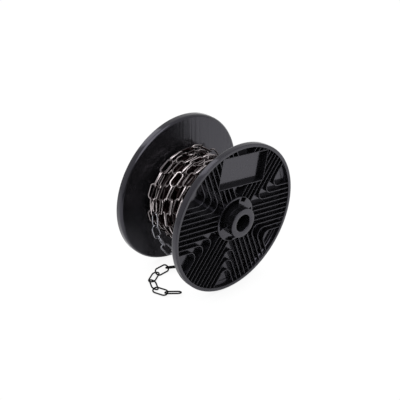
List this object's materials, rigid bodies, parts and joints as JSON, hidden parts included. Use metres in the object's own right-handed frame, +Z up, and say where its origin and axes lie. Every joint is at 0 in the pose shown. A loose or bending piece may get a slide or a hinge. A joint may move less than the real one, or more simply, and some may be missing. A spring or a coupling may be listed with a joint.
{
  "type": "reel of steel chain",
  "caption": "Black plastic reel with ribbed dished flanges and a hub tube, wound with blackened steel link chain whose loose end lies on the floor.",
  "frame": {"origin": "the point on the floor midway between the two flanges, under the reel's axis", "axes": "+X along the reel's axis towards the flange that the picture shows, +Y towards the side away from the chain's loose end, +Z up"},
  "size_m": [0.137, 0.1998, 0.1997],
  "materials": {
    "reel_plastic": "semi-gloss black moulded polystyrene",
    "chain_steel": "blackened and lightly oiled low-carbon steel wire"
  },
  "bodies": {
    "root": {"flange_front": "reel_plastic", "flange_back": "reel_plastic", "hub_tube": "reel_plastic", "drum": "reel_plastic", "chain_core": "chain_steel", "chain_outer_layer": "chain_steel", "tail_link_01": "chain_steel", "tail_link_02": "chain_steel", "tail_link_03": "chain_steel", "tail_link_04": "chain_steel", "tail_link_05": "chain_steel", "tail_link_06": "chain_steel", "tail_link_07": "chain_steel", "tail_link_08": "chain_steel", "tail_link_09": "chain_steel", "tail_link_10": "chain_steel", "tail_link_11": "chain_steel", "tail_link_12": "chain_steel"}
  },
  "joints": []
}
